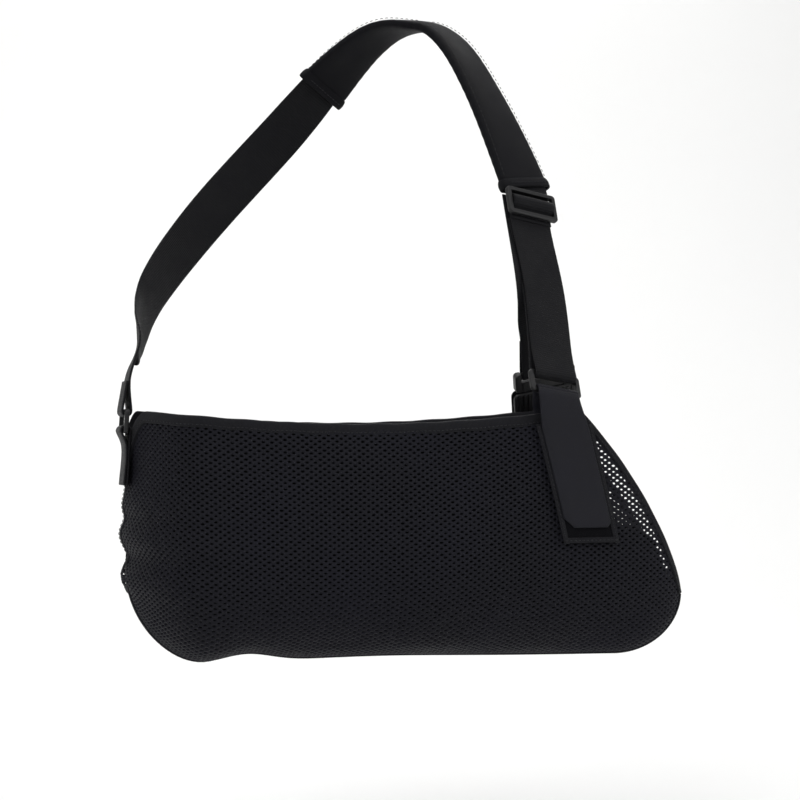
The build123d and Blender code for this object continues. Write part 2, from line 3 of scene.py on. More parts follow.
import bpy
import numpy as np
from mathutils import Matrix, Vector


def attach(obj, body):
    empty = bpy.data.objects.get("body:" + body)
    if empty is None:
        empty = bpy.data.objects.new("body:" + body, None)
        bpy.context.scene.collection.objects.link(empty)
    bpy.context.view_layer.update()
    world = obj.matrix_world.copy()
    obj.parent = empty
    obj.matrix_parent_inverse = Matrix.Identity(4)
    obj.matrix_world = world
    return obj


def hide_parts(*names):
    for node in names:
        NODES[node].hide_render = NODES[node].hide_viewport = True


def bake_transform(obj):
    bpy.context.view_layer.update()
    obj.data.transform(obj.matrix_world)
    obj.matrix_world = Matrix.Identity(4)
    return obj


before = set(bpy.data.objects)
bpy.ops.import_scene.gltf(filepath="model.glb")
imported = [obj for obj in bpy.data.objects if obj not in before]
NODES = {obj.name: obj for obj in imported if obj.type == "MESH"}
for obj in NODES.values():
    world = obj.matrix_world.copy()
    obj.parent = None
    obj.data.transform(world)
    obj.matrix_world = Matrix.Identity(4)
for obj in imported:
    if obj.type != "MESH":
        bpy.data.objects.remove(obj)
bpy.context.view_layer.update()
RNG = np.random.default_rng(11)
TAU = 2 * math.pi

# Everything below is worked out in millimetres and turned into metres when a mesh is made.
MM = 0.001

# ---------------------------------------------------------------- sizes shared with the CAD part
POUCH_CENTRE_Y, POUCH_BELLY_HALF, POUCH_TOP_RATIO = -124.0, 50.0, 0.86
POUCH_BOTTOM_Z, POUCH_BELLY_DEPTH, FABRIC = -495.0, 0.62, 3.0
ELBOW_X, ELBOW_ROUND, ELBOW_RISE_LOW, ELBOW_SHIFT = -250.0, 56.0, 68.0, 36.0
ELBOW_TOP_LENGTH, ELBOW_TOP_FALL = 10.0, 50.0
HAND_X, HAND_TAPER, HAND_BOTTOM, HAND_RISE, HAND_SHIFT = 175.0, 235.0, 52.0, 46.0, -14.0
TOP_Z, TOP_SAG, END_HALF = -308.0, 10.0, 2.6
MOUTH_TOP, MOUTH_MIDDLE, MOUTH_END = (81.0, -304.0), (143.0, -384.0), (175.0, -449.0)
BINDING_HEIGHT, MOUTH_BINDING_HEIGHT, BINDING_PROUD = 8.0, 4.5, 0.9
WEBBING, THICK = 38.0, 1.8
BAR_OFFSET, WRAP_RADIUS, STRAP_GAP, FOLD_TOP, FOLD_EASE = 7.25, 3.5, 2.6, 30.0, 0.3
SLIDER_DISTANCE, SLIDER_STANDOFF = 156.0, 4.6
PAD_WIDTH, PAD_THICK, PAD_DEPTH = 48.5, 11.0, 2.2
PAD_FIRST, ROUTE_STEPS, PAD_MOUTH, LEAD_OUT = 14, 4, 181.0, 20.0
CLOSURE_LEAN, TAB_WIDTH, TAB_THICK, TAB_LENGTH, LOOP_PAD_LENGTH = 0.238, 38.0, 1.7, 102.0, 90.0
LOOP_PAD_WIDTH = 45.0
PLUG_BAR_Y, SOCKET_BAR_Y = 29.65, -13.25
STRAP_ROUTE = [
    ((-241, -80, -262), (0.15, 1.0, 0.05)),
    ((-223, -28, -218), (0.50, 0.60, -0.50)),
    ((-172, 26, -156), (0.60, 0.20, -0.75)),
    ((-102, 44, -80), (0.68, 0.20, -0.70)),
    ((-40, 20, -8), (0.55, 0.75, -0.35)),
    ((0, 0, 8), (0.40, 0.90, 0.10)),
    ((25, -22, -8), (0.62, 0.75, 0.18)),
    ((46, -52, -58), (0.82, 0.55, 0.0)),
]


def unit(v):
    v = np.asarray(v, float)
    return v / np.maximum(np.linalg.norm(v, axis=-1, keepdims=True), 1e-12)


class Plane:
    """Local frame of a fitting: x along the webbing's width, y up the strap, z outwards."""

    def __init__(self, centre, side, rise):
        self.o = np.array(centre, float)
        self.y = unit(rise)
        self.x = unit(np.array(side, float) - self.y * np.dot(side, self.y))
        self.z = np.cross(self.x, self.y)

    def at(self, y, z, x=0.0):
        return self.o + self.x * x + self.y * y + self.z * z


FRONT = Plane((64, -163, -288), (0.95, 0.29, -0.13), (0.01, 0.455, 0.890))
ELBOW = Plane((-252, -88, -316), (0.05, 1, 0), (0.06, 0.02, 1))
BUCKLE = Plane((84, -81, -302), (0.985, 0.14, -0.10), (-0.196, -0.480, 0.855))
SLIDER = Plane(FRONT.at(SLIDER_DISTANCE, STRAP_GAP / 2 + SLIDER_STANDOFF), FRONT.x, FRONT.y)


# ---------------------------------------------------------------- materials
class Shader:
    """A material and short ways to add nodes to it."""

    def __init__(self, name, roughness, sheen=0.0, specular=0.5):
        self.mat = bpy.data.materials.new(name)
        self.mat.use_nodes = True
        self.tree = self.mat.node_tree
        self.bsdf = self.tree.nodes["Principled BSDF"]
        self.bsdf.inputs["Roughness"].default_value = roughness
        self.bsdf.inputs["Sheen Weight"].default_value = sheen
        self.bsdf.inputs["Sheen Roughness"].default_value = 0.45
        self.bsdf.inputs["Specular IOR Level"].default_value = specular

    def put(self, socket, value):
        if isinstance(value, bpy.types.NodeSocket):
            self.tree.links.new(value, socket)
        else:
            socket.default_value = value

    def math(self, op, a, b=0.0):
        node = self.tree.nodes.new("ShaderNodeMath")
        node.operation = op
        self.put(node.inputs[0], a)
        self.put(node.inputs[1], b)
        return node.outputs[0]

    def uv(self):
        """Along the piece and across it, in millimetres."""
        node = self.tree.nodes.new("ShaderNodeUVMap")
        node.uv_map = "weave"
        split = self.tree.nodes.new("ShaderNodeSeparateXYZ")
        self.tree.links.new(node.outputs["UV"], split.inputs[0])
        return [self.math("MULTIPLY", split.outputs[k], 1000.0) for k in (0, 1)]

    def space(self):
        node = self.tree.nodes.new("ShaderNodeTexCoord")
        return node.outputs["Object"]

    def sine(self, coord, pitch):
        return self.math("SINE", self.math("MULTIPLY", coord, TAU / pitch))

    def noise(self, scale, detail=3.0, vector=None):
        node = self.tree.nodes.new("ShaderNodeTexNoise")
        node.inputs["Scale"].default_value = scale
        node.inputs["Detail"].default_value = detail
        self.tree.links.new(vector or self.space(), node.inputs["Vector"])
        return node.outputs["Fac"]

    def ramp(self, factor, low, high, start=0.0, end=1.0):
        node = self.tree.nodes.new("ShaderNodeMapRange")
        node.data_type = "FLOAT"
        self.put(node.inputs["Value"], factor)
        node.inputs["From Min"].default_value, node.inputs["From Max"].default_value = start, end
        node.inputs["To Min"].default_value, node.inputs["To Max"].default_value = low, high
        return node.outputs["Result"]

    def colour(self, factor, dark, light):
        node = self.tree.nodes.new("ShaderNodeMix")
        node.data_type = "RGBA"
        self.put(node.inputs["Factor"], factor)
        node.inputs["A"].default_value = (*dark, 1)
        node.inputs["B"].default_value = (*light, 1)
        for output in node.outputs:
            if output.type == "RGBA":
                self.tree.links.new(output, self.bsdf.inputs["Base Color"])
        return self

    def bump(self, height, distance, strength=1.0):
        node = self.tree.nodes.new("ShaderNodeBump")
        node.inputs["Strength"].default_value = strength
        node.inputs["Distance"].default_value = distance
        self.tree.links.new(height, node.inputs["Height"])
        self.tree.links.new(node.outputs["Normal"], self.bsdf.inputs["Normal"])
        return self


def grey(level, blue=1.0):
    return (level, level, level * blue)


def webbing_material():
    s = Shader("webbing_weave", 0.68, sheen=0.02, specular=0.12)
    u, v = s.uv()
    cross = s.math("ABSOLUTE", s.sine(u, 3.8))
    plain = s.math("MULTIPLY", s.sine(u, 1.9), s.sine(v, 1.5))
    height = s.math("ADD", s.math("MULTIPLY", cross, 0.6), s.math("MULTIPLY", plain, 0.35))
    worn = s.noise(38.0, 4.0)
    tone = s.math("ADD", s.math("MULTIPLY", height, 0.45), s.math("MULTIPLY", worn, 0.45))
    s.colour(tone, grey(0.0016, 1.3), grey(0.0075, 1.3))
    s.put(s.bsdf.inputs["Roughness"], s.ramp(worn, 0.5, 0.74, 0.3, 0.7))
    return s.bump(height, 0.00028).mat


def mesh_material():
    s = Shader("mesh_threads", 0.68, sheen=0.015, specular=0.11)
    u, v = s.uv()
    knit = s.math("MULTIPLY", s.sine(u, 1.08), s.sine(v, 0.75))
    worn = s.noise(16.0, 4.0)
    tone = s.math("ADD", s.math("MULTIPLY", knit, 0.16), s.math("MULTIPLY", worn, 0.7))
    s.colour(tone, grey(0.0034, 1.6), grey(0.0110, 1.55))
    s.put(s.bsdf.inputs["Roughness"], s.ramp(worn, 0.48, 0.68, 0.3, 0.7))
    return s.bump(knit, 0.00012, 0.7).mat


def lining_painted_shade_material():
    s = Shader("mesh_back_layer_painted_shade", 0.85, specular=0.2)
    u, v = s.uv()
    knit = s.math("MULTIPLY", s.sine(u, 1.6), s.sine(v, 1.1))
    # painted shade: this real back knit is coloured darker than the face yarn so the holes in front of it
    # read as shade
    s.colour(s.math("ADD", s.math("MULTIPLY", knit, 0.3), s.noise(30.0)), grey(0.0015), grey(0.005))
    return s.bump(knit, 0.00018).mat


def binding_material():
    s = Shader("binding_knit", 0.7, sheen=0.03, specular=0.15)
    u, v = s.uv()
    rib = s.math("ABSOLUTE", s.sine(v, 1.5))
    loop = s.math("MULTIPLY", s.sine(u, 0.95), rib)
    worn = s.noise(45.0, 4.0)
    tone = s.math("ADD", s.math("MULTIPLY", loop, 0.2), s.math("MULTIPLY", worn, 0.75))
    s.colour(tone, grey(0.0030, 1.4), grey(0.0100, 1.4))
    s.put(s.bsdf.inputs["Roughness"], s.ramp(worn, 0.55, 0.76, 0.3, 0.7))
    return s.bump(s.math("ADD", rib, loop), 0.00016).mat


def pad_material():
    s = Shader("pad_twill", 0.74, sheen=0.02, specular=0.10)
    u, v = s.uv()
    twill = s.sine(s.math("ADD", u, s.math("MULTIPLY", v, 1.0)), 1.25)
    pick = s.sine(s.math("SUBTRACT", v, u), 0.7)
    height = s.math("ADD", s.math("MULTIPLY", twill, 0.6), s.math("MULTIPLY", pick, 0.2))
    worn = s.noise(26.0, 5.0)
    tone = s.math("ADD", s.math("MULTIPLY", height, 0.16), s.math("MULTIPLY", worn, 0.8))
    s.colour(tone, grey(0.0018, 1.4), grey(0.0070, 1.4))
    s.put(s.bsdf.inputs["Roughness"], s.ramp(worn, 0.58, 0.8, 0.3, 0.7))
    return s.bump(height, 0.0002).mat


def hook_material():
    s = Shader("hook_tape_back", 0.58, sheen=0.02, specular=0.14)
    u, v = s.uv()
    weave = s.math("MULTIPLY", s.sine(u, 0.9), s.sine(v, 0.9))
    worn = s.noise(30.0, 5.0)
    tone = s.math("ADD", s.math("MULTIPLY", weave, 0.12), s.math("MULTIPLY", worn, 0.8))
    s.colour(tone, grey(0.0040, 1.5), grey(0.0110, 1.5))
    s.put(s.bsdf.inputs["Roughness"], s.ramp(worn, 0.42, 0.6, 0.3, 0.7))
    return s.bump(weave, 0.0001, 0.8).mat


def loop_material():
    s = Shader("loop_pile", 0.92, sheen=0.04, specular=0.08)
    fuzz = s.noise(900.0, 3.0)
    patch = s.noise(60.0, 4.0)
    tone = s.math("MULTIPLY", s.math("ADD", fuzz, patch), 0.5)
    s.colour(tone, grey(0.0008, 1.5), grey(0.0028, 1.5))
    return s.bump(s.math("ADD", fuzz, s.math("MULTIPLY", patch, 0.6)), 0.0008).mat


def foam_material():
    s = Shader("foam_cells", 0.95, specular=0.1)
    cells = s.noise(1400.0, 2.0)
    s.colour(cells, grey(0.003), grey(0.016))
    return s.bump(cells, 0.0006).mat


def thread_material():
    s = Shader("sewing_thread", 0.55, sheen=0.03, specular=0.2)
    twist = s.noise(2500.0, 1.0)
    s.colour(twist, grey(0.005, 1.2), grey(0.016, 1.2))
    return s.bump(twist, 0.0001).mat


def plastic_material():
    s = Shader("moulded_acetal", 0.44, specular=0.32)
    grain = s.noise(1800.0, 2.0)
    haze = s.noise(35.0, 4.0)
    s.colour(haze, grey(0.0045, 1.1), grey(0.0100, 1.1))
    s.put(s.bsdf.inputs["Roughness"], s.ramp(haze, 0.34, 0.5, 0.3, 0.7))
    return s.bump(grain, 0.00006, 0.6).mat


MESH, LINING_PAINTED_SHADE, BINDING = mesh_material(), lining_painted_shade_material(), binding_material()
WEB, PAD, HOOK, LOOP = webbing_material(), pad_material(), hook_material(), loop_material()
FOAM, THREAD, PLASTIC = foam_material(), thread_material(), plastic_material()


# ---------------------------------------------------------------- making pieces
def make_piece(name, verts, faces, uvs, materials, slot, body="sling", stands_for=(), indices=None):
    """A mesh object from millimetre points. uvs holds one (u, v) in metres for each face corner."""
    data = bpy.data.meshes.new(name)
    data.from_pydata((np.asarray(verts) * MM).tolist(), [], faces)
    layer = data.uv_layers.new(name="weave")
    layer.data.foreach_set("uv", np.asarray(uvs, np.float32).ravel())
    for material in materials:
        data.materials.append(material)
    if indices is not None:
        data.polygons.foreach_set("material_index", np.asarray(indices, np.int32))
    data.polygons.foreach_set("use_smooth", [True] * len(data.polygons))
    data.validate()
    obj = bpy.data.objects.new(name, data)
    bpy.context.scene.collection.objects.link(obj)
    if body:
        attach(obj, body)
    if stands_for:
        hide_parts(*stands_for)
    return obj


def join_parts(parts):
    """Several (verts, faces, uvs) as one."""
    verts, faces, uvs, base = [], [], [], 0
    for v, f, t in parts:
        verts.append(np.asarray(v))
        faces += [[k + base for k in face] for face in f]
        uvs.append(np.asarray(t, float).reshape(-1, 2))
        base += len(v)
    return np.concatenate(verts), faces, np.concatenate(uvs)


def sweep(centres, acrosses, outs, sections):
    """Closed solid through sections, each an (m, 2) ring of (across, out) offsets."""
    centres, acrosses, outs = (np.asarray(a, float) for a in (centres, acrosses, outs))
    sections = np.asarray(sections, float)
    n, m = sections.shape[:2]
    verts = (
        centres[:, None]
        + acrosses[:, None] * sections[..., :1]
        + outs[:, None] * sections[..., 1:]
    )
    along = np.concatenate([[0], np.cumsum(np.linalg.norm(np.diff(centres, axis=0), axis=1))]) * MM
    middle = sections[n // 2]
    steps = np.linalg.norm(np.roll(middle, -1, axis=0) - middle, axis=1)
    around = np.concatenate([[0], np.cumsum(steps)]) * MM
    i, j = np.meshgrid(np.arange(n - 1), np.arange(m), indexing="ij")
    i, j = i.ravel(), j.ravel()
    k = (j + 1) % m
    quads = np.stack([i * m + j, i * m + k, (i + 1) * m + k, (i + 1) * m + j], 1)
    uvs = np.stack(
        [
            np.stack([along[i], around[j]], 1),
            np.stack([along[i], around[j + 1]], 1),
            np.stack([along[i + 1], around[j + 1]], 1),
            np.stack([along[i + 1], around[j]], 1),
        ],
        1,
    ).reshape(-1, 2)
    faces = quads.tolist()
    first, last = list(range(m))[::-1], list(range((n - 1) * m, n * m))
    caps = [middle[first] * MM, middle * MM]
    return verts.reshape(-1, 3), faces + [first, last], np.concatenate([uvs] + caps)


def tape_section(width, thick, bow=0.0, left=None, right=None):
    """Ring of a flat tape with softened selvedges; bow lifts its edges off its middle."""
    across = np.array([-1, -0.985, -0.93, -0.6, -0.3, 0, 0.3, 0.6, 0.93, 0.985, 1])
    half = np.array([0, 0.62, 1, 1, 1, 1, 1, 1, 1, 0.62, 0]) * thick / 2
    reach = np.where(across < 0, width / 2 if left is None else left, width / 2 if right is None else right)
    lift = bow * across**2
    front = np.stack([across * reach, half + lift], 1)
    back = np.stack([across * reach, lift - half], 1)[1:-1][::-1]
    return np.concatenate([front, back])


def round_section(width, thick, power=3.2, count=36):
    """Ring of a flattened round: a superellipse."""
    angle = np.arange(count) * TAU / count
    c, s = np.cos(angle), np.sin(angle)
    x = np.sign(c) * np.abs(c) ** (2 / power) * width / 2
    y = np.sign(s) * np.abs(s) ** (2 / power) * thick / 2
    return np.stack([x, y], 1)


def frames(centres, sides, square=True):
    """Along, across and out directions at each point of a path. Square ones turn with the path."""
    centres = np.asarray(centres, float)
    along = unit(np.gradient(centres, axis=0))
    sides = np.asarray(sides, float)
    across = unit(sides - along * (sides * along).sum(1, keepdims=True)) if square else unit(sides)
    return along, across, unit(np.cross(along, across))


def between(u, start, end, first, last):
    """Straight-line value at u, from first at start to last at end."""
    return (end - u) / (end - start) * first + (u - start) / (end - start) * last


def spline(stations, step):
    """Centripetal smooth path through stations, resampled every step millimetres."""
    points = np.array([np.concatenate([c, s]) for c, s in stations], float)
    ends = [2 * points[0] - points[1]], [2 * points[-1] - points[-2]]
    padded = np.concatenate([ends[0], points, ends[1]])
    gaps = np.sqrt(np.linalg.norm(np.diff(padded[:, :3], axis=0), axis=1)) + 1e-6
    result = []
    for k in range(len(points) - 1):
        p = padded[k : k + 4]
        t = np.concatenate([[0], np.cumsum(gaps[k : k + 3])])
        u = np.linspace(t[1], t[2], 12, endpoint=False)[:, None]
        a = [between(u, t[j], t[j + 1], p[j], p[j + 1]) for j in range(3)]
        b = [between(u, t[j], t[j + 2], a[j], a[j + 1]) for j in range(2)]
        result.append(between(u, t[1], t[2], b[0], b[1]))
    path = np.concatenate(result + [points[-1:]])
    length = np.concatenate([[0], np.cumsum(np.linalg.norm(np.diff(path[:, :3], axis=0), axis=1))])
    marks = np.linspace(0, length[-1], max(3, int(round(length[-1] / step)) + 1))
    fine = np.stack([np.interp(marks, length, path[:, c]) for c in range(6)], 1)
    return fine[:, :3], fine[:, 3:], marks


def tape(stations, width, thick, step=1.6, bow=0.0, shift=None, halves=None, square=True):
    """Webbing or tape along stations. shift moves its line, and halves gives (left, right) reach."""
    centres, sides, marks = spline(stations, step)
    if shift is not None:
        centres = centres + shift(marks, centres, sides)
    _, across, out = frames(centres, sides, square)
    rings = []
    for mark in marks:
        left, right = halves(mark, marks[-1]) if halves else (width / 2, width / 2)
        rings.append(tape_section(width, thick, bow, left, right))
    return sweep(centres, across, out, rings)


def stitches(points, normals, sides, length=2.5, gap=0.9, width=0.62, height=0.34):
    """A row of short raised stitches along a path on a surface."""
    points = np.asarray(points, float)
    reach = np.concatenate([[0], np.cumsum(np.linalg.norm(np.diff(points, axis=0), axis=1))])
    parts = []
    mark = gap
    while mark + length < reach[-1]:
        ends = []
        for place in (mark, mark + length * 0.25, mark + length * 0.75, mark + length):
            rows = (points, normals, sides)
            pick = [np.array([np.interp(place, reach, np.asarray(a)[:, c]) for c in range(3)]) for a in rows]
            ends.append((pick[0], unit(pick[1]), unit(pick[2])))
        shape = (0.35, 1.0, 1.0, 0.35)
        centres = [p + n * (height * (k - 0.5)) for (p, n, _), k in zip(ends, (0.1, 1, 1, 0.1))]
        rings = [round_section(width * k, height * 1.6 * k, 2.0, 6) for k in shape]
        parts.append(sweep(centres, [e[2] for e in ends], [e[1] for e in ends], rings))
        mark += length + gap
    return join_parts(parts)


# ---------------------------------------------------------------- the pouch's surface
def end_round(distance, length):
    return np.sqrt(np.clip(1 - (np.clip(distance, 0, None) / length) ** 2, 0, 1))


def elbow_distance(x):
    return ELBOW_X + ELBOW_ROUND - x


def hand_distance(x, length):
    return x - (HAND_X - length)


def belly_half(x):
    both = end_round(elbow_distance(x), ELBOW_ROUND) * end_round(hand_distance(x, HAND_TAPER), HAND_TAPER)
    return np.maximum(END_HALF, POUCH_BELLY_HALF * both)


def centre_y(x):
    elbow = np.clip(elbow_distance(x), 0, None) / ELBOW_ROUND
    hand = np.clip(hand_distance(x, HAND_TAPER), 0, None) / HAND_TAPER
    return POUCH_CENTRE_Y + ELBOW_SHIFT * elbow**2 + HAND_SHIFT * hand**2


def bottom_z(x):
    elbow = 1 - end_round(elbow_distance(x), ELBOW_ROUND)
    hand = 1 - end_round(hand_distance(x, HAND_BOTTOM), HAND_BOTTOM)
    lift = 6.0 * hump(x, -165, 26) + 2.5 * hump(x, -70, 90)
    return POUCH_BOTTOM_Z + ELBOW_RISE_LOW * elbow + HAND_RISE * hand + lift


def sagging_top(x):
    share = np.clip((x - ELBOW_X) / (MOUTH_TOP[0] - ELBOW_X), 0, 1)
    return TOP_Z - TOP_SAG * np.sin(math.pi * share)


def top_z(x):
    fall = 1 - end_round(ELBOW_X + ELBOW_TOP_LENGTH - x, ELBOW_TOP_LENGTH)
    return sagging_top(x) - ELBOW_TOP_FALL * fall


def belly_z(x):
    return top_z(x) - POUCH_BELLY_DEPTH * (top_z(x) - bottom_z(x))


def section_half(x, z):
    """Half width of the pouch at a height, over the whole section."""
    top, wide, low = top_z(x), belly_z(x), bottom_z(x)
    share = np.clip((top - z) / (top - wide), 0, 1)
    upper = POUCH_TOP_RATIO + (1 - POUCH_TOP_RATIO) * np.sin(math.pi / 2 * share)
    lower = np.sqrt(np.clip(1 - (np.clip(wide - z, 0, None) / (wide - low)) ** 2, 0, 1))
    return belly_half(x) * upper * lower


def hump(value, centre, width):
    return np.exp(-(((value - centre) / width) ** 2))


def drape(x, z, side):
    """How far the loaded fabric stands off its smooth shape: folds, a crease and slow waves."""
    end = np.exp(-np.clip(x - ELBOW_X, 0, None) / 34.0)
    level = z + 0.10 * (x - ELBOW_X)
    folds = 3.4 * hump(level, -401, 10) + 3.8 * hump(level, -435, 11) - 2.6 * hump(level, -418, 7)
    folds += 1.8 * hump(level, -377, 9) - 1.6 * hump(level, -389, 6)
    pull = np.exp(-(((x + 205) / 45.0) ** 2))
    tension = 0.9 * pull * np.sin((z + 330) / 11.0 + (x + 250) / 16.0) * hump(z, -360, 55)
    waves = 1.1 * np.sin(x / 31.0 + z / 47.0 + side) + 0.8 * np.sin(x / 19.0 - z / 29.0)
    low = 1.6 * np.sin((x + 250) / 27.0 + 0.6 * side) * hump(z, bottom_z(x) + 10, 20)
    crease = -0.9 * hump(x, -57, 2.6) if side < 0 else 0.0
    calm = 1 - hump(x, 82, 42) * hump(z, -355, 75)
    calm_mouth = np.clip((MOUTH_END[0] - x) / 60.0, 0, 1)
    calm_top = np.clip((top_z(x) - z) / 26.0, 0, 1)
    calm_low = np.clip((z - bottom_z(x)) / 9.0, 0, 1)
    return (folds * end + calm * calm_mouth * (tension + waves + low) + crease) * calm_top * calm_low


def wall_point(x, z, side, proud=0.0):
    """Point on one panel's outside; side is -1 for the outer panel."""
    y = centre_y(x) + side * (section_half(x, z) + drape(x, z, side) + proud)
    return np.stack(np.broadcast_arrays(x, y, z), -1).astype(float)


class Wall:
    """One panel's outside, as a grid that can be read by distance along and distance down."""

    LEVELS = 120

    def __init__(self, side):
        self.side = side
        turn = np.linspace(0, 1, 70)
        x = np.concatenate([
            ELBOW_X + ELBOW_ROUND * (1 - np.cos(turn * math.pi / 2)),
            np.linspace(ELBOW_X + ELBOW_ROUND, HAND_X - HAND_TAPER, 60)[1:],
            HAND_X - HAND_TAPER * (1 - np.sin(turn * math.pi / 2)),
        ])
        x = np.unique(np.round(x, 5))
        line = np.stack([x, centre_y(x) + side * belly_half(x)], 1)
        run = np.concatenate([[0], np.cumsum(np.linalg.norm(np.diff(line, axis=0), axis=1))])
        self.count = int(run[-1] / 2.0) + 1
        self.length = run[-1]
        xs = np.interp(np.linspace(0, run[-1], self.count), run, x)
        self.points = np.zeros((self.count, self.LEVELS, 3))
        self.depth = np.zeros(self.count)
        for i, here in enumerate(xs):
            self.points[i], self.depth[i] = self.section(here)
        du = np.gradient(self.points, axis=0)
        dv = np.gradient(self.points, axis=1)
        self.normals = unit(np.cross(du, dv)) * side
        x3, z3 = self.points[..., 0], self.points[..., 2]
        self.points = self.points + self.normals * drape(x3, z3, side)[..., None]

    def section(self, x):
        wide, low = belly_z(x), bottom_z(x)
        wall = np.linspace(sagging_top(x), wide, 80)
        angle = np.linspace(0, math.pi / 2, 80)[1:]
        half = belly_half(x)
        y = np.concatenate([section_half(x, wall), half * np.cos(angle)])
        z = np.concatenate([wall, wide - (wide - low) * np.sin(angle)])
        run = np.concatenate([[0], np.cumsum(np.hypot(np.diff(y), np.diff(z)))])
        marks = np.linspace(0, run[-1], self.LEVELS)
        ys = centre_y(x) + self.side * np.interp(marks, run, y)
        return np.stack([np.full(self.LEVELS, x), ys, np.interp(marks, run, z)], 1), run[-1]

    def read(self, along, down, lift=0.0):
        """Points at distances along and down, moved out along the normal by lift."""
        a = np.clip(along / self.length, 0, 1) * (self.count - 1)
        depth = np.interp(a, np.arange(self.count), self.depth)
        b = np.clip(down / depth, 0, 1) * (self.LEVELS - 1)
        i, j = np.minimum(a.astype(int), self.count - 2), np.minimum(b.astype(int), self.LEVELS - 2)
        fa, fb = (a - i)[..., None], (b - j)[..., None]

        def mix(grid):
            near = grid[i, j] * (1 - fa) + grid[i + 1, j] * fa
            far = grid[i, j + 1] * (1 - fa) + grid[i + 1, j + 1] * fa
            return near * (1 - fb) + far * fb

        return mix(self.points) + mix(self.normals) * np.asarray(lift, float)[..., None]


def circle_through(a, b, c):
    (ax, ay), (bx, by), (cx, cy) = a, b, c
    d = 2 * (ax * (by - cy) + bx * (cy - ay) + cx * (ay - by))
    sq = [p[0] ** 2 + p[1] ** 2 for p in (a, b, c)]
    ux = (sq[0] * (by - cy) + sq[1] * (cy - ay) + sq[2] * (ay - by)) / d
    uy = (sq[0] * (cx - bx) + sq[1] * (ax - cx) + sq[2] * (bx - ax)) / d
    return np.array([ux, uy]), math.hypot(ax - ux, ay - uy)


MOUTH_CENTRE, MOUTH_RADIUS = circle_through(MOUTH_TOP, MOUTH_MIDDLE, MOUTH_END)
# True if the pouch lies inside the circle that the mouth's edge is part of.
POUCH_IN_CIRCLE = math.hypot(0 - MOUTH_CENTRE[0], -400 - MOUTH_CENTRE[1]) < MOUTH_RADIUS


def inside_mouth(x, z):
    """Distance from the mouth's edge into the pouch."""
    reach = np.hypot(x - MOUTH_CENTRE[0], z - MOUTH_CENTRE[1])
    return (MOUTH_RADIUS - reach) if POUCH_IN_CIRCLE else (reach - MOUTH_RADIUS)


PITCH, ROW = 6.5, 2.25
CORNER = (2.405, 0.845)
HOLE_HALF = (1.45, 0.75)
YARN_LIFT, RIM_DROP = 0.22, 0.12
MESH_START = 4.0


def perforated(wall, start, hole_depth):
    """Knitted mesh with real oval holes in staggered rows, and the walls inside the holes."""
    rows = int((wall.depth.max() - start) / ROW) + 2
    cols = int(wall.length / PITCH) + 2
    j, i = np.meshgrid(np.arange(-1, rows + 1), np.arange(-1, cols + 1), indexing="ij")
    p = i * PITCH + (j % 2) * PITCH / 2
    s = start + j * ROW
    p = p + 0.10 * RNG.standard_normal(p.shape)
    s = s + 0.06 * RNG.standard_normal(s.shape)
    width = i.shape[1]
    left = np.arange(i.size).reshape(i.shape)
    right = left + i.size
    flat = [np.stack([p - CORNER[0], s], -1).reshape(-1, 2), np.stack([p + CORNER[0], s], -1).reshape(-1, 2)]
    jj, ii = np.meshgrid(np.arange(1, rows + 1), np.arange(1, width - 1), indexing="ij")
    odd = (j[jj, ii] % 2).astype(int)
    ring = np.stack([
        right[jj, ii],
        left[np.minimum(jj + 1, rows + 1), ii + odd],
        right[np.minimum(jj + 1, rows + 1), ii - 1 + odd],
        left[jj, ii],
        right[jj - 1, ii - 1 + odd],
        left[jj - 1, ii + odd],
    ], -1).reshape(-1, 6)
    centre = np.stack([p[jj, ii], s[jj, ii]], -1).reshape(-1, 2)
    depth = np.interp(centre[:, 0], np.linspace(0, wall.length, wall.count), wall.depth)
    place = wall.read(centre[:, 0], centre[:, 1])
    keep = (centre[:, 1] < depth + ROW * 0.4) & (centre[:, 0] > -PITCH * 0.4) & (centre[:, 0] < wall.length)
    keep &= (inside_mouth(place[:, 0], place[:, 2]) > 2.0) & (place[:, 2] < top_z(place[:, 0]) - 2.6)
    ring, centre = ring[keep], centre[keep]
    n = len(centre)
    angle = np.arange(6) * TAU / 6
    size = 1 + 0.07 * RNG.standard_normal((n, 1))
    rim_along = centre[:, :1] + HOLE_HALF[0] * size * np.cos(angle)
    rim_down = centre[:, 1:] + HOLE_HALF[1] * size * np.sin(angle)
    rim = np.stack([rim_along, rim_down], -1)
    params = np.concatenate(flat + [rim.reshape(-1, 2)])
    base = 2 * i.size
    rims = base + np.arange(n * 6).reshape(n, 6)
    nxt = np.roll(np.arange(6), -1)
    quads = np.stack([ring, ring[:, nxt], rims[:, nxt], rims], -1).reshape(-1, 4)
    if wall.side > 0:
        quads = quads[:, ::-1]
    lifts = np.concatenate([YARN_LIFT * np.ones(base), -RIM_DROP * np.ones(n * 6)])
    face = wall.read(params[:, 0], params[:, 1], lifts)
    back_rims = wall.read(params[base:, 0], params[base:, 1], -hole_depth)
    offset = len(params)
    low = offset + np.arange(n * 6).reshape(n, 6)
    walls = np.stack([rims, rims[:, nxt], low[:, nxt], low], -1).reshape(-1, 4)
    if wall.side > 0:
        walls = walls[:, ::-1]
    index = np.where(walls >= offset, walls - offset + base, walls)
    verts, faces = np.concatenate([face, back_rims]), np.concatenate([quads, walls])
    uvs = np.concatenate([params[quads.ravel()] * MM, params[index.ravel()] * MM])
    used, inverse = np.unique(faces, return_inverse=True)
    return verts[used], inverse.reshape(faces.shape).tolist(), uvs


